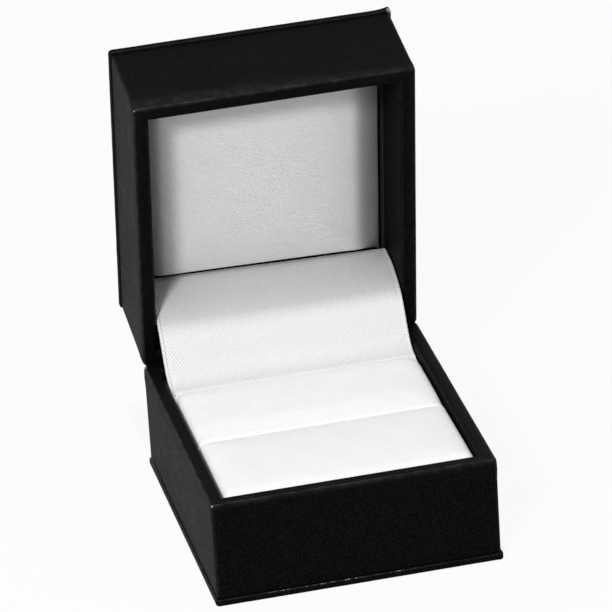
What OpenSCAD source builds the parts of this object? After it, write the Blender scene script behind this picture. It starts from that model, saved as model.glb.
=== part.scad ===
// Snap-shut ring box: two leatherette covered halves on a sprung hinge, with a ring cushion in the
// base, a satin pad in the lid and a satin flap over the hinge. It is drawn open, as it stands on a
// table, front towards -Y. The origin is the middle of the base's underside.

/* [Box] */
// Width over the covered walls
box_w = 48; // [44:0.5:80]
// Depth over the covered walls
box_d = 52.4; // [46:0.2:90]
// Height of the base, from the table to its rim
base_h = 18.7; // [16:0.1:36]
// Height of the lid, from its rim to its top
lid_h = 18.5; // [16:0.1:36]
// Angle between the shut lid and the open one
open_angle = 80; // [65:1:95]
// Gap between the two rims when the box is shut
rim_gap = 0.4; // [0.3:0.05:0.8]

/* [Walls] */
// Thickness of the moulded wall
wall_t = 1.9; // [1.5:0.1:3]
// Thickness of the leatherette
wrap_t = 0.35; // [0.25:0.05:0.5]
// Rounding of the covered rim
rim_r = 0.8; // [0.6:0.05:0.9]
// Rounding of the upright corners
corner_r = 1; // [0.8:0.1:2]
// How far the leatherette turns in below the rim
turn_in = 12; // [10:0.5:13]

/* [Top and bottom plates] */
// Thickness of a plate's board
board_t = 0.5; // [0.4:0.1:2]
// How far a covered plate stands out past the walls
plate_lip = 0.4; // [0.2:0.1:1]
// Rounding of a covered plate's edge
plate_r = 0.5; // [0.4:0.05:0.7]
// Width of the leatherette turned over a plate's inner face
plate_turn = 6; // [4:0.5:9]

/* [Ring cushion] */
// How far the cushion's flat lies below the base's rim
cushion_sink = 0.4; // [0:0.1:2]
// Rise of the cushion's middle above its flat
cushion_crown = 0.8; // [0.3:0.1:1.5]
// Width of the slot that grips a ring
ring_slot = 0.6; // [0.4:0.1:1.5]
// Thickness of the velvet over the foam
velvet_t = 0.5; // [0.3:0.1:0.8]
// Thickness of the board under the cushion
cushion_board_t = 1; // [0.6:0.1:2]

/* [Lid pad] */
// How far the pad's flat lies below the lid's rim
pad_sink = 10.6; // [8:0.1:12]
// Rise of the pad's middle above its flat
pad_crown = 1.6; // [0.6:0.1:2.5]
// Thickness of the satin
satin_t = 0.3; // [0.2:0.05:0.5]
// Thickness of the board that carries the pad
pad_board_t = 1; // [0.6:0.1:1.5]

/* [Padding] */
// Height of the rounded shoulder round a padded piece
shoulder_h = 1.5; // [1:0.1:2]
// How far padded sides pull in between their corners
draw_in = 0.25; // [0.1:0.05:0.5]
// Clear space between padding and walls
pad_clear = 0.2; // [0.15:0.05:0.4]
// Space kept for the hinge between padding and rear wall
hinge_pocket = 7.2; // [6.5:0.1:9]

/* [Hinge flap] */
// Thickness of the card behind the flap's satin
flap_card_t = 0.3; // [0.2:0.05:0.5]
// How far the flap meets the cushion below the base's rim
flap_sink = 1.6; // [1:0.1:3]
// Pull of the flap's upper curve out of the lid
flap_upper_pull = 14; // [11:0.5:16]
// Pull of the flap's lower curve out of the base
flap_lower_pull = 8; // [6:0.5:9]
// Length of the flap tucked behind the lid's pad
flap_lid_tuck = 3.5; // [2:0.5:4]
// Length of the flap tucked behind the cushion
flap_base_tuck = 6; // [3:0.5:8]

/* [Hinge] */
// Length of the hinge barrel
hinge_w = 32; // [26:1:36]
// Diameter of the pin
pin_d = 0.9; // [0.8:0.05:1.1]
// Thickness of the leaves
sheet_t = 0.35; // [0.3:0.05:0.45]
// Depth of a leaf below the pin
leaf_h = 9; // [8.5:0.5:10]
// Distance of the pin inside the rear face
axis_inset = 0.2; // [0.1:0.05:0.4]
// Knuckles on each side of the spring, taken by the base and the lid in turn
side_knuckles = 3; // [2:1:5]
// Shank diameter of the rivets that hold a leaf
rivet_d = 1.4; // [1.2:0.1:1.8]

/* [Spring] */
// Width of the bowed spring strip
spring_w = 7; // [5:0.5:8]
// Thickness of the spring strip
spring_t = 0.3; // [0.2:0.05:0.35]

/* [Hidden] */
$fn = 48;
past = 1;
bore_clear = 0.05;
knuckle_clear = 0.15;
run_clear = 0.3;
leaf_gap = 0.4;
web_turn = 15;
spring_clear = 0.4;
spring_side_clear = 1;
roll_over = 0.1;
hook_clear = 0.15;
spring_room = 0.5;
rivet_head_t = 0.35;
rivet_head_over = 0.6;
pin_over = 0.15;
notch_clear = 0.4;
flap_clear = 0.2;
flap_side_clear = 0.2;
flap_lower_lift = 0.8;
flap_steps = 22;
shoulder_power = 10;
pad_columns = 16;
pad_rows = 10;

wall_total = wall_t + 2 * wrap_t;
plate_t = board_t + 2 * wrap_t;
plate_w = box_w + 2 * plate_lip;
plate_d = box_d + 2 * plate_lip;
inner_w = box_w - 2 * wall_total;
inner_d = box_d - 2 * wall_total;
// The wrap's lower edge is rounded no further than the leatherette is thick
groove_r = 0.85 * wrap_t;
// A plate's edge is rounded by less than half its thickness
plate_edge_r = min(plate_r, 0.45 * plate_t);

axis_y = box_d / 2 - axis_inset;
axis_z = base_h + rim_gap / 2;
bore_r = pin_d / 2 + bore_clear;
barrel_r = bore_r + sheet_t;
leaf_mid = barrel_r + leaf_gap + sheet_t / 2;
web_low = barrel_r * cos(web_turn);
spring_gap = spring_w + 2 * spring_side_clear;
knuckle_run = (hinge_w - spring_gap) / 2;
knuckle_pitch = knuckle_run / side_knuckles;
rivet_x = spring_gap / 2 + knuckle_run / 2;
// The strip is as long open as shut: its dead centre lies halfway
hook_drop = leaf_mid / tan(open_angle / 4);
roll_r = spring_t / 2 + roll_over;
hook_floor = hook_drop + roll_r + hook_clear;
rivet_drop = leaf_h - rivet_d / 2 - 2 * rivet_head_over;
bow_depth = leaf_mid + pin_d / 2 + spring_clear + spring_t / 2;
bow_r = (hook_drop * hook_drop + bow_depth * bow_depth) / (2 * bow_depth);

padding_front = -inner_d / 2 + pad_clear;
padding_rear = inner_d / 2 - hinge_pocket;
padding_half_w = inner_w / 2 - pad_clear;
slot_y = (padding_front + padding_rear) / 2;
roll_half_d = (padding_rear - padding_front - ring_slot) / 4;
cushion_low = plate_t + cushion_board_t;
pad_low = plate_t + pad_board_t;

leatherette = "#1b1b1c";
board_grey = "#8a857c";
shell_black = "#101011";
satin_white = "#d9d9d9";
velvet_white = "#f4f4f2";
foam_cream = "#e8e2cf";
steel_grey = "#9fa3a6";

// Each half is drawn standing on its plate at z = 0 with its rim up at z = h.
// The lid is such a half turned over, swung open about the pin.
module lid_place() {
    translate([0, axis_y, axis_z])
        rotate([-open_angle, 0, 0])
            translate([0, -axis_y, lid_h + rim_gap / 2])
                mirror([0, 0, 1])
                    children();
}

// Where a point of the lid half, y back and z up from its plate, lies when the box is open
function lid_point(y, z) =
    let (back = y - axis_y, up = lid_h + rim_gap / 2 - z)
    [
        axis_y + back * cos(open_angle) + up * sin(open_angle),
        axis_z - back * sin(open_angle) + up * cos(open_angle)
    ];

function pin_height(h) = h + rim_gap / 2;

// Extrudes a section drawn across the box along its width or along its depth
module along_x(length) {
    rotate([90, 0, 90])
        linear_extrude(length, center = true)
            children();
}

module along_y(length) {
    rotate([90, 0, 0])
        linear_extrude(length, center = true)
            children();
}

module rounded_rect(w, d, r) {
    square([w - 2 * r, d], center = true);
    square([w, d - 2 * r], center = true);
    for (x = [-1, 1], y = [-1, 1])
        translate([x * (w / 2 - r), y * (d / 2 - r)])
            circle(r);
}

// Section of a block from z0 to z1 with its lower and upper corners rounded
module block_section(w, z0, z1, low_r, high_r) {
    translate([-w / 2, z0 + low_r])
        square([w, z1 - z0 - low_r - high_r]);
    translate([-w / 2 + high_r, z1 - 2 * high_r])
        square([w - 2 * high_r, 2 * high_r]);
    for (x = [-1, 1])
        translate([x * (w / 2 - high_r), z1 - high_r])
            circle(high_r);
    if (low_r > 0) {
        translate([-w / 2 + low_r, z0])
            square([w - 2 * low_r, 2 * low_r]);
        for (x = [-1, 1])
            translate([x * (w / 2 - low_r), z0 + low_r])
                circle(low_r);
    }
}

module rounded_block(w, d, z0, z1, upright_r, low_r, high_r) {
    intersection() {
        along_x(2 * w)
            block_section(d, z0, z1, low_r, high_r);
        along_y(2 * d)
            block_section(w, z0, z1, low_r, high_r);
        translate([0, 0, z0 - past])
            linear_extrude(z1 - z0 + 2 * past)
                rounded_rect(w, d, upright_r);
    }
}

// Section of a well that opens out in a rounded mouth at z1
module well_section(w, z0, z1, mouth_r) {
    translate([-w / 2, z0])
        square([w, z1 - z0 + past]);
    difference() {
        translate([-w / 2 - mouth_r, z1 - mouth_r])
            square([w + 2 * mouth_r, mouth_r + past]);
        for (x = [-1, 1])
            translate([x * (w / 2 + mouth_r), z1 - mouth_r])
                circle(mouth_r);
    }
}

module well(w, d, z0, z1, mouth_r) {
    intersection() {
        along_x(2 * w)
            well_section(d, z0, z1, mouth_r);
        along_y(2 * d)
            well_section(w, z0, z1, mouth_r);
    }
}

// Room for the barrel through the rear wall, the seat for a leaf in its inner face, and a shallow
// pocket behind the spring's end
module hinge_room(h) {
    room_w = hinge_w + 2 * notch_clear;
    floor_z = pin_height(h) - barrel_r - run_clear;
    seat_y = axis_y - leaf_mid + sheet_t / 2;
    seat_z = pin_height(h) - leaf_h - notch_clear;
    pocket_z = pin_height(h) - hook_floor;
    translate([-room_w / 2, axis_y - leaf_mid, floor_z])
        cube([room_w, leaf_mid + axis_inset + past, h - floor_z + past]);
    translate([-room_w / 2, seat_y - wall_total, seat_z])
        cube([room_w, wall_total, h - seat_z + past]);
    translate([-spring_gap / 2, seat_y - past, pocket_z])
        cube([spring_gap, spring_room + past, h - pocket_z + past]);
}

module rivet_holes(h, d) {
    for (x = [-1, 1])
        translate([x * rivet_x, axis_y + past, pin_height(h) - rivet_drop])
            rotate([90, 0, 0])
                cylinder(h = wall_total + 2 * past, d = d);
}

module wall_core(h) {
    difference() {
        rounded_block(
            box_w - 2 * wrap_t, box_d - 2 * wrap_t, plate_t, h - wrap_t,
            corner_r - wrap_t, 0, rim_r - wrap_t
        );
        well(
            inner_w + 2 * wrap_t, inner_d + 2 * wrap_t, plate_t - past, h - wrap_t,
            rim_r - wrap_t
        );
    }
}

module half_frame(h) {
    difference() {
        wall_core(h);
        hinge_room(h);
        rivet_holes(h, rivet_d + 2 * bore_clear);
    }
}

// Leatherette up the outside of the walls, over the rim and down the inside
module half_wrap(h) {
    turn_z = h - turn_in;
    difference() {
        rounded_block(box_w, box_d, plate_t, h, corner_r, groove_r, rim_r);
        well(inner_w, inner_d, turn_z, h, rim_r);
        translate([0, 0, (plate_t - past + turn_z) / 2])
            cube(
                [inner_w + 2 * wrap_t, inner_d + 2 * wrap_t, turn_z - plate_t + past],
                center = true
            );
        wall_core(h);
        hinge_room(h);
    }
}

module plate_core() {
    translate([0, 0, wrap_t])
        linear_extrude(board_t)
            rounded_rect(plate_w - 2 * wrap_t, plate_d - 2 * wrap_t, corner_r);
}

// Leatherette over a plate's outer face and edges, turned over its inner face
module plate_cover() {
    difference() {
        rounded_block(plate_w, plate_d, 0, plate_t, corner_r + wrap_t, plate_edge_r, plate_edge_r);
        plate_core();
        translate([0, 0, plate_t])
            cube([plate_w - 2 * plate_turn, plate_d - 2 * plate_turn, 2 * wrap_t], center = true);
    }
}

// Start and end of a leaf's knuckles, every other place along the barrel on each side
function knuckle_starts(first) = [
    for (side = [-1, 1], k = [first : 2 : side_knuckles - 1])
        side > 0
            ? spring_gap / 2 + k * knuckle_pitch
            : -spring_gap / 2 - (k + 1) * knuckle_pitch
];

module hinge_leaf(h, first) {
    pin_z = pin_height(h);
    knuckle_w = knuckle_pitch - knuckle_clear;
    plate_top = pin_z - web_low + sheet_t;
    difference() {
        union() {
            translate([-hinge_w / 2, axis_y - leaf_mid - sheet_t / 2, pin_z - leaf_h])
                cube([hinge_w, sheet_t, plate_top - pin_z + leaf_h]);
            for (x = knuckle_starts(first))
                translate([x + knuckle_clear / 2, axis_y, pin_z]) {
                    rotate([0, 90, 0])
                        cylinder(h = knuckle_w, r = barrel_r);
                    translate([0, -leaf_mid, -web_low])
                        cube([knuckle_w, leaf_mid, sheet_t]);
                }
        }
        translate([-hinge_w / 2 - past, axis_y, pin_z])
            rotate([0, 90, 0])
                cylinder(h = hinge_w + 2 * past, r = bore_r);
        translate([-spring_gap / 2, axis_y - leaf_mid - past, pin_z - hook_floor])
            cube([spring_gap, 2 * past, hook_floor]);
        rivet_holes(h, rivet_d + 2 * bore_clear);
    }
}

// Rivets headed on the leaf, their shanks flush with the wall under the leatherette
module leaf_rivets(h) {
    leaf_face = axis_y - leaf_mid - sheet_t / 2;
    wall_face = box_d / 2 - wrap_t;
    for (x = [-1, 1])
        translate([x * rivet_x, wall_face, pin_height(h) - rivet_drop])
            rotate([90, 0, 0]) {
                cylinder(h = wall_face - leaf_face, d = rivet_d);
                translate([0, 0, wall_face - leaf_face])
                    cylinder(h = rivet_head_t, d = rivet_d + 2 * rivet_head_over);
            }
}

// A padded block: flat below, drawn-in sides, rounded shoulders and a crowned top.
// Its skin is a grid of points over the top, with a ring of points round its foot.
function even_out(i, n) = sin(180 * i / n - 90);

function pad_height(u, v, crown) =
    shoulder_h * sqrt((1 - pow(abs(u), shoulder_power)) * (1 - pow(abs(v), shoulder_power)))
    + crown * (1 - u * u) * (1 - v * v);

function pad_top(half, side_z, crown) = [
    for (i = [0 : pad_columns], j = [0 : pad_rows])
        let (u = even_out(i, pad_columns), v = even_out(j, pad_rows))
        [
            u * (half[0] - draw_in * (1 - v * v)),
            v * (half[1] - draw_in * (1 - u * u)),
            side_z + pad_height(u, v, crown)
        ]
];

function pad_index(i, j) = i * (pad_rows + 1) + j;

pad_edge = concat(
    [for (i = [0 : pad_columns - 1]) pad_index(i, 0)],
    [for (j = [0 : pad_rows - 1]) pad_index(pad_columns, j)],
    [for (i = [pad_columns : -1 : 1]) pad_index(i, pad_rows)],
    [for (j = [pad_rows : -1 : 1]) pad_index(0, j)]
);
edge_count = len(pad_edge);
top_count = (pad_columns + 1) * (pad_rows + 1);
skin_count = top_count + edge_count;

function pad_skin(half, low_z, side_z, crown) =
    let (top = pad_top(half, side_z, crown))
    concat(top, [for (k = pad_edge) [top[k][0], top[k][1], low_z]]);

function pad_skin_faces(start) = concat(
    [
        for (i = [0 : pad_columns - 1], j = [0 : pad_rows - 1])
            each [
                [pad_index(i, j), pad_index(i, j + 1), pad_index(i + 1, j + 1)] + start * [1, 1, 1],
                [pad_index(i, j), pad_index(i + 1, j + 1), pad_index(i + 1, j)] + start * [1, 1, 1]
            ]
    ],
    [
        for (k = [0 : edge_count - 1])
            let (next = (k + 1) % edge_count)
            each [
                [pad_edge[k], pad_edge[next], top_count + next] + start * [1, 1, 1],
                [pad_edge[k], top_count + next, top_count + k] + start * [1, 1, 1]
            ]
    ]
);

function turned(faces) = [for (f = faces) [f[2], f[1], f[0]]];

module foam_block(half, low_z, side_z, crown) {
    skin = pad_skin(half, low_z, side_z, crown);
    foot = [
        for (k = [0 : edge_count - 1])
            [skin_count, top_count + k, top_count + (k + 1) % edge_count]
    ];
    polyhedron(concat(skin, [[0, 0, low_z]]), concat(pad_skin_faces(0), foot), convexity = 4);
}

module cover_shell(half, low_z, side_z, crown, cloth_t) {
    outer = pad_skin(half, low_z, side_z, crown);
    inner = pad_skin(half - [cloth_t, cloth_t], low_z, side_z - cloth_t, crown);
    hem = [
        for (k = [0 : edge_count - 1])
            let (o = top_count + k, p = top_count + (k + 1) % edge_count)
            each [[o, p, p + skin_count], [o, p + skin_count, o + skin_count]]
    ];
    faces = concat(pad_skin_faces(0), turned(pad_skin_faces(skin_count)), hem);
    polyhedron(concat(outer, inner), faces, convexity = 6);
}

roll_half = [padding_half_w, roll_half_d];
roll_side_z = base_h - cushion_sink - shoulder_h;
pad_half = [padding_half_w, (padding_rear - padding_front) / 2];
pad_side_z = lid_h - pad_sink - shoulder_h;

// Moves a cushion roll to the front or to the rear of the ring slot
module roll_place(side) {
    translate([0, slot_y + side * (ring_slot / 2 + roll_half_d), 0])
        children();
}

module roll_foam(side) {
    roll_place(side)
        foam_block(roll_half - [velvet_t, velvet_t], cushion_low, roll_side_z - velvet_t, cushion_crown);
}

module roll_cover(side) {
    roll_place(side)
        cover_shell(roll_half, cushion_low, roll_side_z, cushion_crown, velvet_t);
}

// Board under a piece of padding, standing on the plate's turned-over leatherette
module padding_board(t) {
    translate([-padding_half_w, padding_front, plate_t])
        cube([2 * padding_half_w, padding_rear - padding_front, t]);
}

// The flap's course from behind the lid's pad, over the hinge, to behind the cushion
flap_seat_y = padding_rear + flap_clear + satin_t;
flap_lid_z = lid_h - pad_sink;
flap_start = lid_point(flap_seat_y, flap_lid_z - flap_lid_tuck);
flap_top = lid_point(flap_seat_y, flap_lid_z);
flap_low = [flap_seat_y, base_h - flap_sink];
flap_end = [flap_seat_y, base_h - flap_sink - flap_base_tuck];
flap_bends = [
    flap_top,
    flap_top - [flap_upper_pull, 0],
    flap_low + [flap_lower_pull, flap_lower_lift],
    flap_low
];

function curve_point(p, t) =
    pow(1 - t, 3) * p[0] + 3 * t * pow(1 - t, 2) * p[1]
    + 3 * t * t * (1 - t) * p[2] + pow(t, 3) * p[3];

flap_course = concat(
    [flap_start],
    [for (i = [0 : flap_steps]) curve_point(flap_bends, i / flap_steps)],
    [flap_end]
);

function unit(v) = v / norm(v);

// Points of a course shifted sideways, to its front for a positive distance
function shifted(course, distance) = [
    for (i = [0 : len(course) - 1])
        let (
            before = unit(course[max(i, 1)] - course[max(i, 1) - 1]),
            after = unit(course[min(i + 1, len(course) - 1)] - course[min(i + 1, len(course) - 1) - 1]),
            along = unit(before + after)
        )
        course[i] + distance / (along * before) * [along[1], -along[0]]
];

module flap_layer(near, far) {
    front = shifted(flap_course, far);
    back = shifted(flap_course, near);
    along_x(inner_w - 2 * flap_side_clear)
        polygon(concat(front, [for (i = [len(back) - 1 : -1 : 0]) back[i]]));
}

module base_frame() {
    color(shell_black)
        half_frame(base_h);
}

module base_wrap() {
    color(leatherette)
        half_wrap(base_h);
}

module bottom_board() {
    color(board_grey)
        plate_core();
}

module bottom_wrap() {
    color(leatherette)
        plate_cover();
}

module cushion_board() {
    color(board_grey)
        padding_board(cushion_board_t);
}

module front_cushion_foam() {
    color(foam_cream)
        roll_foam(-1);
}

module front_cushion_cover() {
    color(velvet_white)
        roll_cover(-1);
}

module rear_cushion_foam() {
    color(foam_cream)
        roll_foam(1);
}

module rear_cushion_cover() {
    color(velvet_white)
        roll_cover(1);
}

module base_hinge_leaf() {
    color(steel_grey)
        hinge_leaf(base_h, 0);
}

module base_rivets() {
    color(steel_grey)
        leaf_rivets(base_h);
}

module hinge_pin() {
    color(steel_grey)
        translate([-hinge_w / 2 - pin_over, axis_y, axis_z])
            rotate([0, 90, 0])
                cylinder(h = hinge_w + 2 * pin_over, d = pin_d);
}

// Strip bowed in front of the pin, its rolled ends in the middle notches of the two leaves
module hinge_spring() {
    half_turn = asin(hook_drop / bow_r);
    tilt = 90 - open_angle / 2;
    toward_front = [-sin(tilt), cos(tilt)];
    foot = [axis_y - leaf_mid, axis_z - hook_drop];
    centre = foot + hook_drop * [cos(tilt), sin(tilt)] - (bow_r - bow_depth) * toward_front;
    color(steel_grey)
        translate([0, centre[0], centre[1]])
            rotate([90, 0, 90])
                rotate([0, 0, tilt + 90 - half_turn]) {
                    rotate_extrude(angle = 2 * half_turn)
                        translate([bow_r - spring_t / 2, -spring_w / 2])
                            square([spring_t, spring_w]);
                    for (turn = [0, 2 * half_turn])
                        rotate([0, 0, turn])
                            translate([bow_r, 0, -spring_w / 2])
                                cylinder(h = spring_w, r = roll_r);
                }
}

module hinge_flap() {
    color(satin_white)
        flap_layer(0, satin_t);
}

module flap_card() {
    color(board_grey)
        flap_layer(-flap_card_t, 0);
}

module lid_frame() {
    color(shell_black)
        lid_place()
            half_frame(lid_h);
}

module lid_wrap() {
    color(leatherette)
        lid_place()
            half_wrap(lid_h);
}

module top_board() {
    color(board_grey)
        lid_place()
            plate_core();
}

module top_wrap() {
    color(leatherette)
        lid_place()
            plate_cover();
}

module lid_pad_board() {
    color(board_grey)
        lid_place()
            padding_board(pad_board_t);
}

module lid_pad_place() {
    lid_place()
        translate([0, (padding_front + padding_rear) / 2, 0])
            children();
}

module lid_pad_foam() {
    color(foam_cream)
        lid_pad_place()
            foam_block(pad_half - [satin_t, satin_t], pad_low, pad_side_z - satin_t, pad_crown);
}

module lid_pad_cover() {
    color(satin_white)
        lid_pad_place()
            cover_shell(pad_half, pad_low, pad_side_z, pad_crown, satin_t);
}

module lid_hinge_leaf() {
    color(steel_grey)
        lid_place()
            hinge_leaf(lid_h, 1);
}

module lid_rivets() {
    color(steel_grey)
        lid_place()
            leaf_rivets(lid_h);
}

base_frame();
base_wrap();
bottom_board();
bottom_wrap();
cushion_board();
front_cushion_foam();
front_cushion_cover();
rear_cushion_foam();
rear_cushion_cover();
base_hinge_leaf();
base_rivets();
hinge_pin();
hinge_spring();
hinge_flap();
flap_card();
lid_frame();
lid_wrap();
top_board();
top_wrap();
lid_pad_board();
lid_pad_foam();
lid_pad_cover();
lid_hinge_leaf();
lid_rivets();
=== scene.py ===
import math

import bmesh
import bpy
from mathutils import Matrix, Vector, noise


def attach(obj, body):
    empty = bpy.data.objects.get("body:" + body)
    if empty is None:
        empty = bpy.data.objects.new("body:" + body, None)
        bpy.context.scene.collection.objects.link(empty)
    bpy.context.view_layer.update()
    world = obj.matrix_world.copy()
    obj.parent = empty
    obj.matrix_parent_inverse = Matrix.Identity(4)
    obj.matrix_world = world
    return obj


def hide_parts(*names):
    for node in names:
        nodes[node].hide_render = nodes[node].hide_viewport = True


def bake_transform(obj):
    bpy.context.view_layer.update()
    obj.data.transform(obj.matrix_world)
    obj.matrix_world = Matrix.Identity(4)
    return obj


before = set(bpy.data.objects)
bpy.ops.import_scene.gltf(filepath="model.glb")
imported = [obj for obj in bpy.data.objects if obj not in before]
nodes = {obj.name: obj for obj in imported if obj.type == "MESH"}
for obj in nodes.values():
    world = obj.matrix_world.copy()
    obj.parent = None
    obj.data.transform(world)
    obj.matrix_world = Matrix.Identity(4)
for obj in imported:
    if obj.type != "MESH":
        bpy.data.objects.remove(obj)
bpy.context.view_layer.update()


# Base walls. Black grained leatherette is glued round a moulded frame: it comes up the outside,
# rolls over the rim and turns down inside. A gap in the rear rim leaves room for the hinge.
# The corners are mitred, and their points are rubbed through to the pale backing.

mm = 0.001
box_w = 48.0
box_d = 52.4
base_h = 18.7
plate_t = 1.2
leather_t = 0.3
wall_t = 2.6
wall_grid = 2.0
cut_slack = 1e-5
corner_r = 0.5
corner_least = 0.06
corner_steps = 5
rim_r = 0.8
rim_steps = 7
fold_r = 0.45
groove_r = 0.3
groove_in = 0.6
groove_steps = 3
turn_in = 12.0
hinge_half = 16.4
hinge_floor = 0.95
hinge_slack = 0.1
leaf_seat = 9.2
spot_r = 0.45
spot_in = 0.25
rear_spot_in = 0.7
front_spot = spot_in - box_d / 2
rear_spot = box_d / 2 - rear_spot_in


def first_line(skin, w, d, z, r):
    """A closed line of edges round the box, from which a sheet of leatherette is drawn up."""
    place = Matrix.Translation((0, 0, z)) @ Matrix.Diagonal((w, d, 1, 1))
    corners = bmesh.ops.create_grid(skin, x_segments=1, y_segments=1, size=0.5, matrix=place)["verts"]
    rounded = bmesh.ops.bevel(
        skin, geom=corners, offset=r, offset_type="OFFSET", segments=corner_steps,
        profile=0.5, affect="VERTICES", material=-1,
    )
    face = rounded["verts"][0].link_faces[0]
    line = list(face.edges)
    bmesh.ops.delete(skin, geom=[face], context="FACES_ONLY")
    return line


def drawn_on(skin, line, before, after):
    """Carries the sheet on from one line to the next. Each is (width, depth, height, corner radius)."""
    drawn = bmesh.ops.extrude_edge_only(skin, edges=line)["geom"]
    points = {g for g in drawn if isinstance(g, bmesh.types.BMVert)}
    for v in points:
        for axis in (0, 1):
            past = (abs(v.co[axis]) - before[axis] / 2 + before[3]) / before[3]
            v.co[axis] = math.copysign(after[axis] / 2 - after[3] + past * after[3], v.co[axis])
        v.co.z = after[2]
    return [g for g in drawn if isinstance(g, bmesh.types.BMEdge) and set(g.verts) <= points]


def cut(skin, at, normal):
    """Cuts a mesh right through along a plane. All of it stays."""
    bmesh.ops.bisect_plane(
        skin, geom=skin.verts[:] + skin.edges[:] + skin.faces[:], dist=cut_slack,
        plane_co=at, plane_no=normal,
    )


def cut_grid(skin, low, high, step):
    """Cuts a mesh into squares, so that it can be shaped softly."""
    for axis in range(3):
        normal = Vector((0, 0, 0))
        normal[axis] = 1
        count = max(1, round((high[axis] - low[axis]) / step))
        for k in range(1, count):
            at = Vector((0, 0, 0))
            at[axis] = low[axis] + (high[axis] - low[axis]) * k / count
            cut(skin, at, normal)


def wall_leather(height):
    """The leatherette of one half, standing on its plate with its rim up, in millimetres."""
    skin = bmesh.new()
    stations = [(groove_in, plate_t)]
    for inset, z, r, start, steps in (
        (groove_r, plate_t + groove_r, groove_r, -90, groove_steps),
        (fold_r, height - fold_r, fold_r, 0, rim_steps),
        (wall_t - rim_r, height - rim_r, rim_r, 90, rim_steps),
    ):
        for k in range(steps + 1):
            turn = math.radians(start + 90 * k / steps)
            stations.append((inset - r * math.cos(turn), z + r * math.sin(turn)))
    stations.append((wall_t, height - turn_in))
    stations = [(box_w - 2 * s, box_d - 2 * s, z, max(corner_least, corner_r - s)) for s, z in stations]
    line = first_line(skin, *stations[0])
    for before, after in zip(stations, stations[1:]):
        line = drawn_on(skin, line, before, after)
    bmesh.ops.recalc_face_normals(skin, faces=skin.faces)
    cut_grid(skin, (-box_w / 2, -box_d / 2, plate_t), (box_w / 2, box_d / 2, height), wall_grid)
    for at, normal in (
        ((-hinge_half, 0, 0), (1, 0, 0)),
        ((hinge_half, 0, 0), (1, 0, 0)),
        ((0, rear_spot, 0), (0, 1, 0)),
        ((0, rear_spot - spot_r, 0), (0, 1, 0)),
        ((0, 0, height - hinge_floor), (0, 0, 1)),
        ((0, 0, height - leaf_seat), (0, 0, 1)),
    ):
        cut(skin, at, normal)
    gone = []
    for face in skin.faces:
        x, y, z = face.calc_center_median()
        behind_hinge = abs(x) < hinge_half and y > box_d / 2 - wall_t - hinge_slack
        on_leaf = y < box_d / 2 - wall_t / 2 and z > height - leaf_seat
        if behind_hinge and (z > height - hinge_floor or on_leaf):
            gone.append(face)
    bmesh.ops.delete(skin, geom=gone, context="FACES")
    return skin


def clamped(value, low=0.0, high=1.0):
    return min(high, max(low, value))


def shift(skin, moves):
    for v, move in zip(skin.verts, moves):
        v.co += move


def settle_walls(skin, height):
    """Glued leatherette stands off a little below the rim's fold, and is never quite flat.

    Along the rear the fold is pinched sharp and stands up, so that the two halves nearly touch.
    """
    unevenness = 0.03
    patch = 9.0
    inside_from = 0.4
    fold_swell = 0.09
    fold_low = 2.4
    swell_at = 0.75
    swell_narrow = 4
    pinch_r = 0.2
    pinch_lift = 0.17
    pinch_end = 0.1
    pinch_run = 0.4
    rear_from = 2.6
    rear_run = 1.4
    least = 1e-4
    skin.normal_update()
    moves = []
    for v in skin.verts:
        out_y = v.co.y - box_d / 2 + fold_r
        out_z = v.co.z - height + fold_r
        inside = abs(v.co.x) < box_w / 2 - inside_from and abs(v.co.y) < box_d / 2 - inside_from
        below = (height - v.co.z) / fold_low
        swell = 0 if inside else fold_swell * math.exp(-((below - swell_at) ** 2) * swell_narrow)
        rough = unevenness * (0.5 + 0.5 * noise.noise(v.co / patch))
        move = v.normal * (swell + rough)
        pinched = clamped((box_w / 2 - pinch_end - abs(v.co.x)) / pinch_run)
        if out_y > least and out_z > least:
            move.y += pinched * (fold_r - pinch_r) * (1 - out_y / fold_r)
            move.z += pinched * (fold_r - pinch_r) * (1 - out_z / fold_r)
        near = pinched * clamped((v.co.y - box_d / 2 + rear_from) / rear_run)
        if out_z > 0:
            move.z += pinch_lift * near * out_z / fold_r
        moves.append(move)
    shift(skin, moves)


def rub_walls(skin, height, worn_spots, band_left, band_right):
    """How far each point is rubbed through, and how far it is polished by handling.

    worn_spots lists (side, y, how far): side -1 is left, and y is where the spot lies on the rim.
    band_left and band_right are how far the polish reaches down the front wall.
    """
    fold_line = 0.14
    fold_spread = 0.07
    inner_polish = 0.6
    corner_polish = 0.5
    corner_slack = 0.1
    front_slack = 0.3
    rub = skin.verts.layers.float.new("rub")
    polish = skin.verts.layers.float.new("polish")
    for v in skin.verts:
        worn = 0.0
        for side, y, depth in worn_spots:
            spot = Vector((side * (box_w / 2 - spot_in), y, height - spot_in))
            worn = max(worn, depth * (1 - (v.co - spot).length / spot_r))
        v[rub] = worn
        past_x = abs(v.co.x) - box_w / 2
        past_y = abs(v.co.y) - box_d / 2
        on_corner = past_x > corner_slack - corner_r and past_y > corner_slack - corner_r
        upright = corner_polish if on_corner else 0.0
        inset = -max(past_x, past_y)
        drop = height - v.co.z
        to_outer = (inset - fold_line) ** 2 + (drop - fold_line) ** 2
        to_inner = (inset - wall_t + fold_line) ** 2 + (drop - fold_line) ** 2
        outer = math.exp(-to_outer / fold_spread)
        inner = inner_polish * math.exp(-to_inner / fold_spread)
        band = band_left + (band_right - band_left) * (v.co.x / box_w + 0.5)
        front = past_y > -front_slack and v.co.y < 0
        under = max(0.0, 1 - max(0.0, drop - fold_line) / band) if front else 0.0
        v[polish] = max(upright, outer, inner, under)


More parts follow.
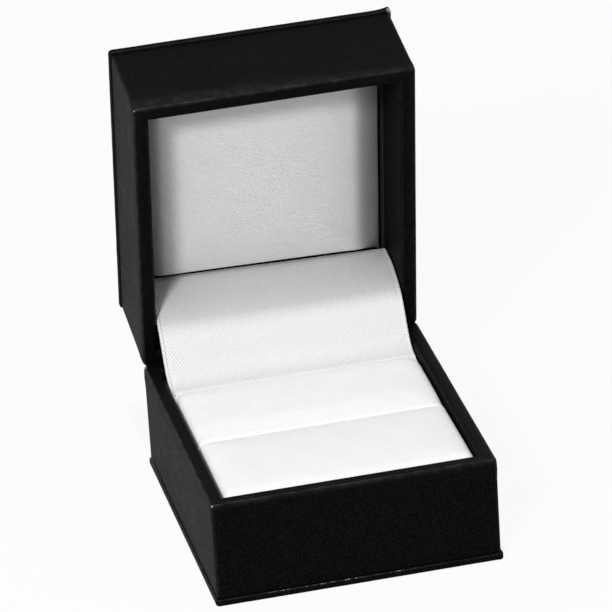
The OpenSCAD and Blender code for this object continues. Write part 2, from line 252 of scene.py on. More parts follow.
def finished(name, skin, place):
    """Turns a mesh in millimetres into a smooth piece in metres, standing in the row frame."""
    bmesh.ops.transform(skin, matrix=Matrix.Scale(mm, 4) @ place, verts=skin.verts)
    if place.determinant() < 0:
        bmesh.ops.reverse_faces(skin, faces=skin.faces)
    mesh = bpy.data.meshes.new(name)
    skin.to_mesh(mesh)
    skin.free()
    mesh.shade_smooth()
    piece = bpy.data.objects.new(name, mesh)
    bpy.context.scene.collection.objects.link(piece)
    return piece


def thickened(piece, thickness, offset=-1):
    wall = piece.modifiers.new("thickness", "SOLIDIFY")
    wall.thickness = thickness * mm
    wall.offset = offset
    return piece


def feed(tree, node, inputs):
    """Fills a shader node's inputs: each gets a value, or the socket that feeds it."""
    for name, value in inputs.items():
        if isinstance(value, bpy.types.NodeSocket):
            tree.links.new(value, node.inputs[name])
        else:
            node.inputs[name].default_value = value


def put(tree, kind, inputs=None, **settings):
    """Adds a shader node with its settings and inputs."""
    made = tree.nodes.new(kind)
    for name, value in settings.items():
        setattr(made, name, value)
    feed(tree, made, inputs or {})
    return made


def math_node(tree, operation, a, b=0.0, c=0.0, clamp=False):
    made = put(tree, "ShaderNodeMath", {0: a, 1: b, 2: c}, operation=operation, use_clamp=clamp)
    return made.outputs[0]


def spread_range(tree, value, low, high, to_low=0.0, to_high=1.0):
    made = put(
        tree, "ShaderNodeMapRange",
        {"Value": value, "From Min": low, "From Max": high, "To Min": to_low, "To Max": to_high},
        interpolation_type="SMOOTHSTEP",
    )
    return made.outputs["Result"]


def mixed_colour(tree, share, first, second):
    made = put(tree, "ShaderNodeMix", {0: share, 6: first, 7: second}, data_type="RGBA")
    return made.outputs[2]


def on_object(tree):
    return put(tree, "ShaderNodeTexCoord").outputs["Object"]


def scaled(tree, vector, factor):
    made = put(tree, "ShaderNodeVectorMath", {0: vector, "Scale": factor}, operation="SCALE")
    return made.outputs[0]


def clouds(tree, vector, scale, detail, roughness=0.5):
    """Soft random patches, from 0 to 1."""
    inputs = {"Vector": vector, "Scale": scale, "Detail": detail, "Roughness": roughness}
    return put(tree, "ShaderNodeTexNoise", inputs).outputs[0]


def new_group(name, takes, gives):
    """A node group with named sockets: takes and gives list (name, kind)."""
    group = bpy.data.node_groups.new(name, "ShaderNodeTree")
    for sockets, side in ((takes, "INPUT"), (gives, "OUTPUT")):
        for label, kind in sockets:
            group.interface.new_socket(label, in_out=side, socket_type="NodeSocket" + kind)
    return group, put(group, "NodeGroupInput").outputs, put(group, "NodeGroupOutput").inputs


def mottle_group():
    """Uneven tone and a fine tooth, at a grain size in millimetres."""
    group, takes, gives = new_group(
        "mottle",
        [("Vector", "Vector"), ("Grain", "Float"), ("Patch", "Float")],
        [("Tone", "Float"), ("Tooth", "Float")],
    )
    in_mm = scaled(group, takes["Vector"], 1 / mm)
    fine = scaled(group, in_mm, math_node(group, "DIVIDE", 1.0, takes["Grain"]))
    wide = scaled(group, in_mm, math_node(group, "DIVIDE", 1.0, takes["Patch"]))
    group.links.new(clouds(group, fine, scale=1.0, detail=3.0, roughness=0.6), gives["Tooth"])
    group.links.new(clouds(group, wide, scale=1.0, detail=2.0), gives["Tone"])
    return group


mottle = mottle_group()


def mottled(tree, grain, patch):
    inputs = {"Vector": on_object(tree), "Grain": grain, "Patch": patch}
    made = put(tree, "ShaderNodeGroup", inputs, node_tree=mottle)
    return made.outputs["Tone"], made.outputs["Tooth"]


def raised(tree, height, strength, distance):
    made = put(tree, "ShaderNodeBump", {"Height": height, "Strength": strength, "Distance": distance * mm})
    return made.outputs["Normal"]


def surface(name):
    """A new material, its node tree and its shader."""
    made = bpy.data.materials.new(name)
    made.use_nodes = True
    return made, made.node_tree, made.node_tree.nodes["Principled BSDF"]


def leatherette_material():
    """A dull black film with a pebble grain, polished by handling and chipped where it is rubbed."""
    pebble_size = 0.42 * mm
    chip_size = 0.34 * mm
    dash_size = 1.3 * mm
    streak_size = 1.8 * mm
    hollow_black = (0.0013, 0.0013, 0.0014, 1)
    pebble_black = (0.0070, 0.0070, 0.0073, 1)
    backing_grey = (0.30, 0.30, 0.29, 1)
    made, tree, shader = surface("black_leatherette")
    where = on_object(tree)
    tone, tooth = mottled(tree, grain=0.5, patch=7.0)
    pebble = put(
        tree, "ShaderNodeTexVoronoi",
        {"Vector": where, "Scale": 1 / pebble_size, "Randomness": 0.9},
        feature="DISTANCE_TO_EDGE",
    ).outputs["Distance"]
    pebbles = spread_range(tree, pebble, 0.0, 0.35)
    height = math_node(tree, "MULTIPLY_ADD", pebbles, 0.55, math_node(tree, "MULTIPLY", tooth, 0.45))
    black = mixed_colour(tree, spread_range(tree, height, 0.3, 0.85), hollow_black, pebble_black)
    gloss = math_node(tree, "MULTIPLY_ADD", tone, 0.1, math_node(tree, "MULTIPLY_ADD", height, 0.3, 0.35))
    rub = put(tree, "ShaderNodeAttribute", attribute_name="rub").outputs["Fac"]
    chips = clouds(tree, where, scale=1 / chip_size, detail=2.0)
    dashes = clouds(tree, where, scale=1 / dash_size, detail=1.0)
    broken = math_node(tree, "MULTIPLY", math_node(tree, "ADD", chips, dashes), rub)
    worn = spread_range(tree, broken, 0.5, 0.76)
    polish = put(tree, "ShaderNodeAttribute", attribute_name="polish").outputs["Fac"]
    streaks = clouds(tree, where, scale=1 / streak_size, detail=2.0)
    handled = math_node(tree, "MULTIPLY", polish, spread_range(tree, streaks, 0.3, 0.7, 0.12, 0.32))
    feed(tree, shader, {
        "Base Color": mixed_colour(tree, worn, black, backing_grey),
        "Roughness": gloss,
        "Specular IOR Level": 0.02,
        "Coat Weight": handled,
        "Coat Roughness": 0.32,
        "Normal": raised(tree, height, strength=1.0, distance=0.08),
    })
    return made


leatherette = leatherette_material()


def covering(name, skin, place):
    """A finished piece of leatherette."""
    piece = thickened(finished(name, skin, place), leather_t)
    piece.data.materials.append(leatherette)
    return piece


skin = wall_leather(base_h)
base_spots = [(-1, front_spot, 1.1), (-1, rear_spot, 1.8), (1, front_spot, 0.35)]
rub_walls(skin, base_h, base_spots, band_left=0.7, band_right=0.9)
settle_walls(skin, base_h)
base_leather = covering("base_leather", skin, Matrix.Identity(4))
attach(base_leather, "base")
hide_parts("base_wrap")


# Bottom plate. A board is covered with the same leatherette, which is turned over its edge and
# glued down inside. It stands out a little past the walls, and its upper edge is rubbed pale.

plate_lip = 0.28
plate_edge_r = 0.3
plate_edge_steps = 4
plate_edge_cuts = (0.7, 1.4)
plate_corner_r = 0.7
plate_turn = 6.0
plate_grid = 0.8
knocked_corner = Vector((box_w / 2 + plate_lip, -box_d / 2 - plate_lip))


def plate_leather():
    """A covered plate's leatherette, its outer face at z = 0, in millimetres."""
    same_height = 1e-6
    sharp_turn = 0.5
    skin = bmesh.new()
    w = box_w + 2 * plate_lip
    d = box_d + 2 * plate_lip
    place = Matrix.Translation((0, 0, plate_t / 2)) @ Matrix.Diagonal((w, d, plate_t, 1))
    bmesh.ops.create_cube(skin, size=1, matrix=place)
    upright = [e for e in skin.edges if abs(e.verts[0].co.z - e.verts[1].co.z) > plate_t / 2]
    bmesh.ops.bevel(
        skin, geom=upright, offset=plate_corner_r, offset_type="OFFSET", segments=corner_steps + 1,
        profile=0.5, affect="EDGES", material=-1,
    )
    level = [
        e for e in skin.edges
        if abs(e.verts[0].co.z - e.verts[1].co.z) < same_height and len(e.link_faces) == 2
        and abs(e.link_faces[0].normal.z - e.link_faces[1].normal.z) > sharp_turn
    ]
    bmesh.ops.bevel(
        skin, geom=level, offset=plate_edge_r, offset_type="OFFSET", segments=plate_edge_steps,
        profile=0.5, affect="EDGES", material=-1,
    )
    skin.normal_update()
    inner = max(skin.faces, key=lambda f: f.calc_center_median().z)
    bmesh.ops.inset_region(skin, faces=[inner], thickness=plate_turn, use_even_offset=True)
    bmesh.ops.delete(skin, geom=[inner], context="FACES")
    cut_grid(skin, (-w / 2, -d / 2, 0), (w / 2, d / 2, plate_t), plate_grid)
    for side in (-1, 1):
        for past in plate_edge_cuts:
            cut(skin, (side * (w / 2 - past), 0, 0), (1, 0, 0))
            cut(skin, (0, side * (d / 2 - past), 0), (0, 1, 0))
    bmesh.ops.recalc_face_normals(skin, faces=skin.faces)
    return skin


def rub_plate(skin, worn_from, worn_to, worn_corners):
    """The plate's upper edge is rubbed most along the front, between two places, and at its corners.

    worn_corners lists (side, end, how far): side -1 is left, and end -1 is the front.
    """
    lip_drop = 0.12
    lip_spread = 0.2
    lip_wear = 0.63
    lip_polish = 0.7
    least_wear = 0.3
    worn_wear = 0.8
    wear_run = 4
    corner_in = 0.35
    corner_drop = 0.4
    corner_reach = 1.1
    rub = skin.verts.layers.float.new("rub")
    polish = skin.verts.layers.float.new("polish")
    w = box_w / 2 + plate_lip
    d = box_d / 2 + plate_lip
    for v in skin.verts:
        edge = max(abs(v.co.x) - w, abs(v.co.y) - d) + plate_edge_r
        lip = max(0.0, 1 - abs(v.co.z - plate_t + lip_drop) / lip_spread) if edge > 0 else 0.0
        inside = min(v.co.x - worn_from, worn_to - v.co.x)
        in_front = v.co.y < plate_lip - d
        along = clamped(worn_wear + inside / wear_run, least_wear) if in_front else least_wear
        worn = lip_wear * lip * along
        for side, end, depth in worn_corners:
            corner = Vector((side * (w - corner_in), end * (d - corner_in), plate_t - corner_drop))
            worn = max(worn, depth * (1 - (v.co - corner).length / corner_reach))
        v[rub] = worn
        v[polish] = lip_polish * lip


def settle_plate(skin, bend):
    """The covering is uneven along its edges, and one corner has been knocked out of shape by bend."""
    unevenness = 0.05
    long_wave = 6.0
    short_wave = 1.7
    glued_from = 0.02
    resting = 1e-3
    reach = 3.0
    crumple_height = Vector((0, 0, 0.12))
    crumple_turns = 1.7
    skin.normal_update()
    moves = []
    for v in skin.verts:
        wavy = 0.5 + 0.3 * noise.noise(v.co / long_wave) + 0.4 * noise.noise(v.co / short_wave)
        loose = resting <= v.co.z < plate_t - glued_from
        rough = unevenness * wavy if loose else 0.0
        share = max(0.0, 1 - (v.co.xy - knocked_corner).length / reach) ** 2
        crumple = crumple_height * share * noise.noise(v.co * crumple_turns)
        moves.append(v.normal * rough + bend * share + crumple)
    shift(skin, moves)


skin = plate_leather()
rub_plate(skin, worn_from=-16.6, worn_to=12.0, worn_corners=[(1, -1, 0.6), (-1, -1, 0.4)])
settle_plate(skin, bend=Vector((0.12, -0.05, 0.02)))
for v in skin.verts:
    v.co.z = max(v.co.z, 0.0)
bottom_leather = covering("bottom_leather", skin, Matrix.Identity(4))
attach(bottom_leather, "base")
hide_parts("bottom_wrap")


# Base frame and boards, which the covering hides. The frame is moulded in matt black plastic.
# The boards are cut from grey recycled board: one inside the plate, one under the cushion.


def moulded_material():
    deep_black = (0.010, 0.010, 0.011, 1)
    worn_black = (0.018, 0.018, 0.019, 1)
    made, tree, shader = surface("moulded_shell")
    tone, tooth = mottled(tree, grain=0.12, patch=5.0)
    feed(tree, shader, {
        "Base Color": mixed_colour(tree, tone, deep_black, worn_black),
        "Roughness": math_node(tree, "MULTIPLY_ADD", tooth, 0.2, 0.5),
        "Normal": raised(tree, tooth, strength=0.2, distance=0.02),
    })
    return made


def greyboard_material():
    dark_pulp = (0.29, 0.27, 0.245, 1)
    pale_pulp = (0.42, 0.40, 0.37, 1)
    fleck_grey = (0.16, 0.15, 0.14, 1)
    made, tree, shader = surface("greyboard")
    tone, tooth = mottled(tree, grain=0.3, patch=2.5)
    pulp = mixed_colour(tree, tone, dark_pulp, pale_pulp)
    flecks = spread_range(tree, tooth, 0.62, 0.75)
    feed(tree, shader, {
        "Base Color": mixed_colour(tree, flecks, pulp, fleck_grey),
        "Roughness": math_node(tree, "MULTIPLY_ADD", tone, 0.1, 0.82),
        "Normal": raised(tree, tooth, strength=0.3, distance=0.03),
    })
    return made


def dress(material, *names):
    for name in names:
        nodes[name].data.materials.clear()
        nodes[name].data.materials.append(material)


moulded_shell = moulded_material()
greyboard = greyboard_material()
dress(moulded_shell, "base_frame")
dress(greyboard, "bottom_board", "cushion_board")


# Ring cushion. Two foam rolls are wrapped in white velvet and pressed into the base side by side.
# The slot between them holds the ring's band. Their tops swell, their shoulders are soft, and
# they are drawn in a little along the slot.

cushion_half_w = 21.2
cushion_low = 2.2
cushion_front = -23.4
cushion_rear = 16.4
slot_y = -3.5
slot_half = 0.1
slot_r = 0.22
roll_top = 18.55
roll_held = 14.0
roll_rise = 0.5
roll_side_r = 1.8
roll_front_r = 1.4
roll_rear_r = 4.5
roll_drop = 1.3
roll_rear_gap = 0.1


def pillow(low, high, radii, slope=0.0):
    """A soft block in millimetres: straight in plan, with a rolled shoulder along each side.

    radii are how far the shoulders reach inwards (left, right, front, rear) and how far they drop.
    slope is how far the shoulders are straight slopes and not round.
    """
    grid = 1.0
    edge_cuts = (0.08, 0.3, 0.6)
    left, right, front, rear, drop = radii
    skin = bmesh.new()
    middle = [(a + b) / 2 for a, b in zip(low, high)]
    size = [b - a for a, b in zip(low, high)]
    bmesh.ops.create_cube(skin, size=1, matrix=Matrix.Translation(middle) @ Matrix.Diagonal((*size, 1)))
    cut_grid(skin, low, high, grid)
    for past in edge_cuts:
        for axis in (0, 1):
            for at in (low[axis] + past, high[axis] - past):
                normal = Vector((1 - axis, axis, 0))
                cut(skin, normal * at, normal)
    for v in skin.verts:
        over_x = max(0.0, 1 - (v.co.x - low[0]) / left, 1 - (high[0] - v.co.x) / right)
        over_y = max(0.0, 1 - (v.co.y - low[1]) / front, 1 - (high[1] - v.co.y) / rear)
        rounded = 1 - math.sqrt(max(0.0, 1 - over_x ** 2 - over_y ** 2))
        top = high[2] - drop * (rounded + (max(over_x, over_y) - rounded) * slope)
        v.co.z = low[2] + (v.co.z - low[2]) * (top - low[2]) / size[2]
    bmesh.ops.recalc_face_normals(skin, faces=skin.faces)
    return skin


def swollen(skin, held_below, rise):
    """Blows a pillow up as cloth under pressure, held below a height, until its top has risen that far.

    The cloth is blown up at a larger scale, where the solver is steady.
    """
    cloth_scale = 20.0 * mm
    cloth_frames = 20
    pressure = 4.0
    sideways = 0.15
    starts = [v.co.copy() for v in skin.verts]
    mesh = bpy.data.meshes.new("cloth_bag")
    bmesh.ops.scale(skin, vec=(cloth_scale,) * 3, verts=skin.verts)
    skin.to_mesh(mesh)
    bag = bpy.data.objects.new("cloth_bag", mesh)
    bpy.context.scene.collection.objects.link(bag)
    held = bag.vertex_groups.new(name="held")
    held.add([i for i, p in enumerate(starts) if p.z < held_below], 1.0, "REPLACE")
    cloth = bag.modifiers.new("cloth", "CLOTH")
    cloth.settings.quality = 6
    cloth.settings.use_pressure = True
    cloth.settings.uniform_pressure_force = pressure
    cloth.settings.vertex_group_mass = "held"
    cloth.settings.effector_weights.gravity = 0
    cloth.collision_settings.use_collision = False
    cloth.point_cache.frame_start = 1
    cloth.point_cache.frame_end = cloth_frames
    for step in range(1, cloth_frames + 1):
        bpy.context.scene.frame_set(step)
    blown = bag.evaluated_get(bpy.context.evaluated_depsgraph_get()).to_mesh()
    ends = [v.co / cloth_scale for v in blown.vertices]
    bpy.context.scene.frame_set(1)
    bpy.data.objects.remove(bag)
    bpy.data.meshes.remove(mesh)
    share = rise / max(end.z - start.z for start, end in zip(starts, ends))
    for v, start, end in zip(skin.verts, starts, ends):
        move = (end - start) * share
        move.x = clamped(move.x, -sideways, sideways)
        move.y = clamped(move.y, -sideways, sideways)
        v.co = start + move
    return skin


def softened(piece):
    smooth = piece.modifiers.new("softness", "SUBSURF")
    smooth.levels = 1
    smooth.render_levels = 1
    return piece


def velvet_material():
    nap_low = (0.80, 0.80, 0.795, 1)
    nap_high = (0.88, 0.88, 0.875, 1)
    nap_shade = (0.74, 0.74, 0.735, 1)
    made, tree, shader = surface("white_velvet")
    tone, tooth = mottled(tree, grain=0.22, patch=4.0)
    nap = mixed_colour(tree, tone, nap_low, nap_high)
    lit = spread_range(tree, tooth, 0.25, 0.6)
    feed(tree, shader, {
        "Base Color": mixed_colour(tree, lit, nap_shade, nap),
        "Roughness": math_node(tree, "MULTIPLY_ADD", tooth, 0.1, 0.86),
        "Specular IOR Level": 0.2,
        "Sheen Weight": 0.08,
        "Sheen Roughness": 0.5,
        "Normal": raised(tree, tooth, strength=0.4, distance=0.05),
    })
    return made


white_velvet = velvet_material()
for name, low_y, high_y, front_r, rear_r, dip, reach in (
    ("front", cushion_front, slot_y - slot_half, roll_front_r, slot_r, 0.3, 1.2),
    ("rear", slot_y + slot_half, cushion_rear - roll_rear_gap, slot_r, roll_rear_r, 0.45, 5.0),
):
    low = (-cushion_half_w, low_y, cushion_low)
    high = (cushion_half_w, high_y, roll_top)
    radii = (roll_side_r, roll_side_r, front_r, rear_r, roll_drop)
    skin = swollen(pillow(low, high, radii), roll_held, roll_rise)
    for v in skin.verts:
        past = abs(v.co.y - slot_y) - slot_half
        up = max(0.0, (v.co.z - roll_held) / (roll_top - roll_held))
        v.co.z -= dip * up * max(0.0, 1 - past / reach)
    roll = softened(finished(name + "_cushion", skin, Matrix.Identity(4)))
    roll.data.materials.append(white_velvet)
    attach(roll, "base")
    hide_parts(name + "_cushion_foam", name + "_cushion_cover")


# Snap hinge, hidden behind the flap and seen only from the rear. Two leaves of pressed steel strip
# are curled round a pin and riveted to the frames. A bowed spring strip snaps the lid open or shut.


def steel_material():
    dark_steel = (0.50, 0.505, 0.51, 1)
    pale_steel = (0.60, 0.605, 0.61, 1)
    line_scale = (0.06 / mm, 4 / mm, 4 / mm)
    made, tree, shader = surface("plated_steel")
    tone = mottled(tree, grain=0.2, patch=3.0)[0]
    drawn = put(tree, "ShaderNodeMapping", {"Vector": on_object(tree), "Scale": line_scale}).outputs[0]
    lines = clouds(tree, drawn, scale=1.0, detail=2.0)
    feed(tree, shader, {
        "Base Color": mixed_colour(tree, tone, dark_steel, pale_steel),
        "Metallic": 1.0,
        "Roughness": math_node(tree, "MULTIPLY_ADD", lines, 0.22, 0.2),
        "Normal": raised(tree, lines, strength=0.15, distance=0.01),
    })
    return made


plated_steel = steel_material()
dress(plated_steel, "base_hinge_leaf", "base_rivets", "hinge_pin", "hinge_spring")
dress(plated_steel, "lid_hinge_leaf", "lid_rivets")


# Hinge flap. White satin is folded over a thin card, which stops short of the fold. The satin's upper
# edge turns back behind the lid's pad, and its lower edge is tucked in behind the cushion. It hides
# the hinge.

axis_y = 26.0
axis_z = 18.9
lid_h = 18.5
rim_gap = 0.4
open_angle = math.radians(80)
flap_y = 16.9
flap_half_w = 21.2
flap_steps = 40
flap_low_z = 17.1
flap_top = (-0.25, 7.75)
flap_fold = ((3.0, 5.0), (1.2, 6.8))
flap_tuck = (14.1, 11.1)
top_pull = (14.0, 0)
low_pull = (8.0, 0.8)
flap_skew = 1.2
skew_rise = 12.0
satin_t = 0.22
satin_forward = 0.26
satin_waver = 0.05
satin_wave = Vector((9, 5, 5))
column_step = 0.9
columns_each_side = 22
hem = [-21.2, -21.08, -20.8, -20.7, -20.45]
hem_lifts = ((21.15, -0.1, -0.1), (20.75, 0.1, 0.03), (20.6, -0.06, -0.03))
card_t = 0.2
card_forward = -0.05
card_step = 2.05
card_steps_each_side = 10
card_from = 3


def in_lid(y, up):
    """Where a point of the lid half lies when the box is open."""
    back = y - axis_y
    down = lid_h + rim_gap / 2 - up
    return Vector((
        axis_y + back * math.cos(open_angle) + down * math.sin(open_angle),
        axis_z - back * math.sin(open_angle) + down * math.cos(open_angle),
    ))


def flap_course():
    """The flap's side view, as points (y, z) from its fold in the lid to its tuck in the base."""
    top = in_lid(flap_y + flap_top[0], flap_top[1])
    low = Vector((flap_y, flap_low_z))
    pulls = (top, top - Vector(top_pull), low + Vector(low_pull), low)
    course = [in_lid(flap_y + behind, up) for behind, up in flap_fold]
    for k in range(flap_steps + 1):
        t = k / flap_steps
        shares = ((1 - t) ** 3, 3 * t * (1 - t) ** 2, 3 * t * t * (1 - t), t ** 3)
        course.append(sum((share * pull for share, pull in zip(shares, pulls)), Vector((0, 0))))
    return course + [Vector((flap_y, z)) for z in flap_tuck]


def flap_skin(course, forward, stops):
    """A course, moved forward and drawn out across the box, with its length and width as a UV map."""
    line = []
    for k, point in enumerate(course):
        here = max(k, 1)
        there = min(k + 1, len(course) - 1)
        before = (course[here] - course[here - 1]).normalized()
        after = (course[there] - course[there - 1]).normalized()
        along = (before + after).normalized()
        line.append(point + Vector((along.y, -along.x)) * forward / along.dot(before))
    skin = bmesh.new()
    run = skin.verts.layers.float.new("run")
    row = [skin.verts.new((stops[0], p.x, p.y)) for p in line]
    for k, v in enumerate(row):
        v[run] = row[k - 1][run] + (v.co - row[k - 1].co).length if k else 0.0
    edges = [skin.edges.new(pair) for pair in zip(row, row[1:])]
    for here, there in zip(stops, stops[1:]):
        drawn = bmesh.ops.extrude_edge_only(skin, edges=edges)["geom"]
        edges = [g for g in drawn if isinstance(g, bmesh.types.BMEdge)]
        points = [g for g in drawn if isinstance(g, bmesh.types.BMVert)]
        bmesh.ops.translate(skin, vec=(there - here, 0, 0), verts=points)
    weave = skin.loops.layers.uv.new("weave")
    for face in skin.faces:
        for corner in face.loops:
            corner[weave].uv = (corner.vert.co.x * mm, corner.vert[run] * mm)
    skin.normal_update()
    if sum(f.normal.y for f in skin.faces) > 0:
        bmesh.ops.reverse_faces(skin, faces=skin.faces)
    return skin


def hem_lift(x):
    """Each side of the satin is turned in: its end dips, its fold stands up and a groove lies inside."""
    for beyond, left, right in hem_lifts:
        if abs(x) > beyond:
            return left if x < 0 else right
    return 0.0


def askew(v):
    """The flap was glued to the lid a little lower on the right."""
    across = (v.co.x + flap_half_w) / (2 * flap_half_w)
    up = clamped((v.co.z - flap_low_z) / skew_rise)
    return Vector((0, 0, -flap_skew * across * up * up))


def twill_group():
    """Satin's fine slanting ribs, pitch in millimetres, broken up as threads are."""
    beat_pitch = 0.35
    slub_scale = (1.2, 5.0, 5.0)
    group, takes, gives = new_group(
        "satin_twill",
        [("Vector", "Vector"), ("Slant", "Float"), ("Pitch", "Float")],
        [("Rib", "Float"), ("Slub", "Float")],
    )
    in_mm = scaled(group, takes["Vector"], 1 / mm)
    parts = put(group, "ShaderNodeSeparateXYZ", {0: in_mm}).outputs
    across = math_node(group, "SUBTRACT", parts[1], parts[2])
    across = math_node(group, "MULTIPLY_ADD", parts[0], takes["Slant"], across)
    wander = clouds(group, in_mm, scale=0.9, detail=1.0)
    across = math_node(group, "MULTIPLY_ADD", wander, 0.2, across)
    turn = math_node(group, "DIVIDE", math_node(group, "MULTIPLY", across, math.tau), takes["Pitch"])
    rib = math_node(group, "MULTIPLY_ADD", math_node(group, "SINE", turn), 0.5, 0.5)
    beat = math_node(group, "SINE", math_node(group, "MULTIPLY", parts[0], math.tau / beat_pitch))
    rib = math_node(group, "MULTIPLY", rib, math_node(group, "MULTIPLY_ADD", beat, 0.15, 0.85))
    drawn = put(group, "ShaderNodeVectorMath", {0: in_mm, 1: slub_scale}, operation="MULTIPLY").outputs[0]
    group.links.new(rib, gives["Rib"])
    group.links.new(clouds(group, drawn, scale=1.0, detail=2.0), gives["Slub"])
    return group


twill = twill_group()


def satin_material(name, where, slant, pitch, relief):
    """White satin. where(tree) gives the weave's place on the cloth. Its ribs stand up by relief."""
    ground_low = (0.68, 0.68, 0.68, 1)
    ground_high = (0.74, 0.74, 0.74, 1)
    between_threads = (0.60, 0.60, 0.60, 1)
    made, tree, shader = surface(name)
    inputs = {"Vector": where(tree), "Slant": slant, "Pitch": pitch}
    cloth = put(tree, "ShaderNodeGroup", inputs, node_tree=twill)
    rib, slub = cloth.outputs["Rib"], cloth.outputs["Slub"]
    tone = mottled(tree, grain=0.3, patch=6.0)[0]
    thread = math_node(tree, "MULTIPLY_ADD", rib, 0.65, math_node(tree, "MULTIPLY", slub, 0.35))
    ground = mixed_colour(tree, tone, ground_low, ground_high)
    feed(tree, shader, {
        "Base Color": mixed_colour(tree, thread, between_threads, ground),
        "Roughness": math_node(tree, "MULTIPLY_ADD", slub, 0.16, 0.34),
        "IOR": 1.7,
        "Specular IOR Level": 0.65,
        "Sheen Weight": 0.1,
        "Normal": raised(tree, thread, strength=1.0, distance=relief),
    })
    return made


def along_flap(tree):
    return put(tree, "ShaderNodeUVMap", uv_map="weave").outputs[0]


columns = [x * column_step for x in range(-columns_each_side, columns_each_side + 1)]
skin = flap_skin(flap_course(), satin_forward, hem + columns + [-x for x in reversed(hem)])
skin.normal_update()
lifts = []
for v in skin.verts:
    ripple = Vector((v.co.x / satin_wave.x, v.co.y / satin_wave.y, v.co.z / satin_wave.z))
    waver = satin_waver * noise.noise(ripple)
    lifts.append(v.normal * (hem_lift(v.co.x) + waver) + askew(v))
shift(skin, lifts)
flap_satin = thickened(finished("flap_satin", skin, Matrix.Identity(4)), satin_t, offset=0)
flap_white = satin_material("flap_satin_white", along_flap, slant=1.0, pitch=0.6, relief=0.11)
flap_satin.data.materials.append(flap_white)
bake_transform(flap_satin)
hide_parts("hinge_flap")

columns = [x * card_step for x in range(-card_steps_each_side, card_steps_each_side + 1)]
skin = flap_skin(flap_course()[card_from:], card_forward, columns)
shift(skin, [askew(v) for v in skin.verts])
flap_backing = thickened(finished("flap_backing", skin, Matrix.Identity(4)), card_t, offset=0)
flap_backing.data.materials.append(greyboard)
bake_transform(flap_backing)
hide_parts("flap_card")


# Lid. It is made as the base is: a moulded frame in leatherette, and a covered plate on top with
# a board inside. One corner of the plate has been knocked, and its covering is crumpled and pale.

lid_place = (
    Matrix.Translation((0, axis_y, axis_z))
    @ Matrix.Rotation(-open_angle, 4, "X")
    @ Matrix.Translation((0, -axis_y, lid_h + rim_gap / 2))
    @ Matrix.Diagonal((1, 1, -1, 1))
)

skin = wall_leather(lid_h)
lid_spots = [(-1, front_spot, 0.9), (1, front_spot, 0.3)]
rub_walls(skin, lid_h, lid_spots, band_left=3.5, band_right=1.2)
settle_walls(skin, lid_h)
lid_leather = covering("lid_leather", skin, lid_place)
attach(lid_leather, "lid")
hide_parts("lid_wrap")

skin = plate_leather()
rub_plate(skin, worn_from=0.6, worn_to=15.6, worn_corners=[(1, -1, 1.3), (-1, -1, 0.5)])
settle_plate(skin, bend=Vector((0.1, -0.3, -0.3)))
top_leather = covering("top_leather", skin, lid_place)
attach(top_leather, "lid")
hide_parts("top_wrap")

dress(moulded_shell, "lid_frame")
dress(greyboard, "top_board", "lid_pad_board")


# Lid pad. White satin is drawn over foam on a board, and pressed into the lid. Its sides roll back
# in wide shoulders. Its lower edge lies straight along the flap's fold, and its lower corners are
# tucked in behind that fold.

pad_top = 8.5
pad_held = 3.4
pad_rise = 1.0
pad_left = 2.8
pad_right = 4.6
pad_front_r = 3.4
pad_rear_r = 0.5
pad_drop = 4.8
pad_slope = 0.85
pad_rear_gap = 0.08
pad_tuck = 3.0
pad_tuck_reach = 3.0


def on_pad(tree):
    turned = {"Vector": on_object(tree), "Rotation": (open_angle, 0, 0)}
    return put(tree, "ShaderNodeMapping", turned).outputs[0]


low = (-cushion_half_w, cushion_front, cushion_low)
high = (cushion_half_w, cushion_rear - pad_rear_gap, pad_top)
radii = (pad_left, pad_right, pad_front_r, pad_rear_r, pad_drop)
skin = swollen(pillow(low, high, radii, pad_slope), pad_held, pad_rise)
for v in skin.verts:
    across = (v.co.x + cushion_half_w) / (2 * cushion_half_w)
    rolled = max(0.0, 1 - (v.co.x - low[0]) / pad_left, 1 - (high[0] - v.co.x) / pad_right)
    tucked = pad_tuck * rolled * max(0.0, 1 - (high[1] - v.co.y) / pad_tuck_reach)
    v.co.y += tucked + flap_skew * across * max(0.0, (v.co.y - slot_y) / (cushion_rear - slot_y))
lid_pad = softened(finished("lid_pad", skin, lid_place))
pad_white = satin_material("pad_satin_white", on_pad, slant=-1.0, pitch=0.6, relief=0.08)
lid_pad.data.materials.append(pad_white)
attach(lid_pad, "lid")
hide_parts("lid_pad_foam", "lid_pad_cover")


# Table and light. A plain white table top under soft studio lamps: one in front on the left, a small
# one overhead, and a low one behind that shows the rear. The room is an even white.

table_half = 2.0
table_grey = (0.72, 0.72, 0.72, 1)
table_lift = 0.9
room_light = 0.18
white = (1, 1, 1, 1)


def seen_directly(tree):
    """1 where a surface is seen, also in a reflection, and 0 where it only throws light on the box."""
    seen = put(tree, "ShaderNodeLightPath").outputs
    direct = math_node(tree, "ADD", seen["Is Camera Ray"], seen["Is Glossy Ray"])
    return math_node(tree, "ADD", direct, seen["Is Transmission Ray"], clamp=True)


bench = bmesh.new()
bmesh.ops.create_grid(bench, x_segments=1, y_segments=1, size=table_half)
table = bpy.data.objects.new("table", bpy.data.meshes.new("table"))
bench.to_mesh(table.data)
bench.free()
bpy.context.scene.collection.objects.link(table)
white_table, tree, shader = surface("white_table")
feed(tree, shader, {"Base Color": table_grey, "Roughness": 0.9, "Specular IOR Level": 0.0})
plain_white = put(tree, "ShaderNodeEmission", {"Color": white, "Strength": 1.0})
lift = math_node(tree, "MULTIPLY", seen_directly(tree), table_lift)
shaders = {0: lift, 1: shader.outputs[0], 2: plain_white.outputs[0]}
both = put(tree, "ShaderNodeMixShader", shaders)
feed(tree, tree.nodes["Material Output"], {"Surface": both.outputs[0]})
table.data.materials.append(white_table)

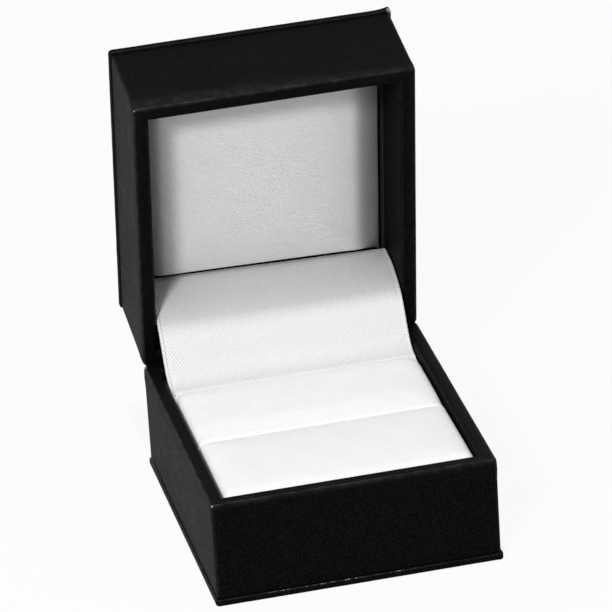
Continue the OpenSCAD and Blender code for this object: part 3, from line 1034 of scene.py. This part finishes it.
room = bpy.data.worlds.new("white_room")
bpy.context.scene.world = room
room.use_nodes = True
tree = room.node_tree
glow = math_node(tree, "MULTIPLY_ADD", seen_directly(tree), 1 - room_light, room_light)
feed(tree, tree.nodes["Background"], {"Color": white, "Strength": glow})


def soft_lamp(name, place, aim, size, power):
    lamp = bpy.data.lights.new(name, "AREA")
    lamp.shape = "DISK"
    lamp.size = size
    lamp.energy = power
    held = bpy.data.objects.new(name, lamp)
    held.location = place
    held.rotation_mode = "QUATERNION"
    held.rotation_quaternion = (Vector(aim) - Vector(place)).to_track_quat("-Z", "Y")
    bpy.context.scene.collection.objects.link(held)


soft_lamp("left_lamp", place=(-0.446, -0.732, 0.6), aim=(0, 0.01, 0.035), size=0.18, power=7.8)
soft_lamp("top_lamp", place=(-0.03, -0.13, 0.95), aim=(0, 0.0, 0.035), size=0.05, power=4.1)
soft_lamp("rear_lamp", place=(0, 0.95, 0.14), aim=(0, 0.03, 0.035), size=0.06, power=5.0)


# Camera, set where the photo was taken from: a long way off, a little to the left and above.

eye = Vector((-177.19, -843.0, 469.3)) * mm
azimuth = math.radians(-11.825)
elevation = math.radians(26.571)
roll_angle = math.radians(-3.667)
photo_px = 612
focal_px = 5831.97
back = Vector((
    math.sin(azimuth) * math.cos(elevation),
    -math.cos(azimuth) * math.cos(elevation),
    math.sin(elevation),
))
right = Vector((math.cos(azimuth), math.sin(azimuth), 0))
up = back.cross(right)
tilted_right = right * math.cos(roll_angle) + up * math.sin(roll_angle)
tilted_up = up * math.cos(roll_angle) - right * math.sin(roll_angle)
lens = bpy.data.cameras.new("camera")
lens.sensor_width = 36
lens.lens = lens.sensor_width * focal_px / photo_px
lens.clip_start = 0.05
lens.clip_end = 10
camera = bpy.data.objects.new("camera", lens)
camera.matrix_world = Matrix((
    (tilted_right.x, tilted_up.x, back.x, eye.x),
    (tilted_right.y, tilted_up.y, back.y, eye.y),
    (tilted_right.z, tilted_up.z, back.z, eye.z),
    (0, 0, 0, 1),
))
bpy.context.scene.collection.objects.link(camera)
bpy.context.scene.camera = camera
bpy.context.scene.view_settings.view_transform = "Standard"
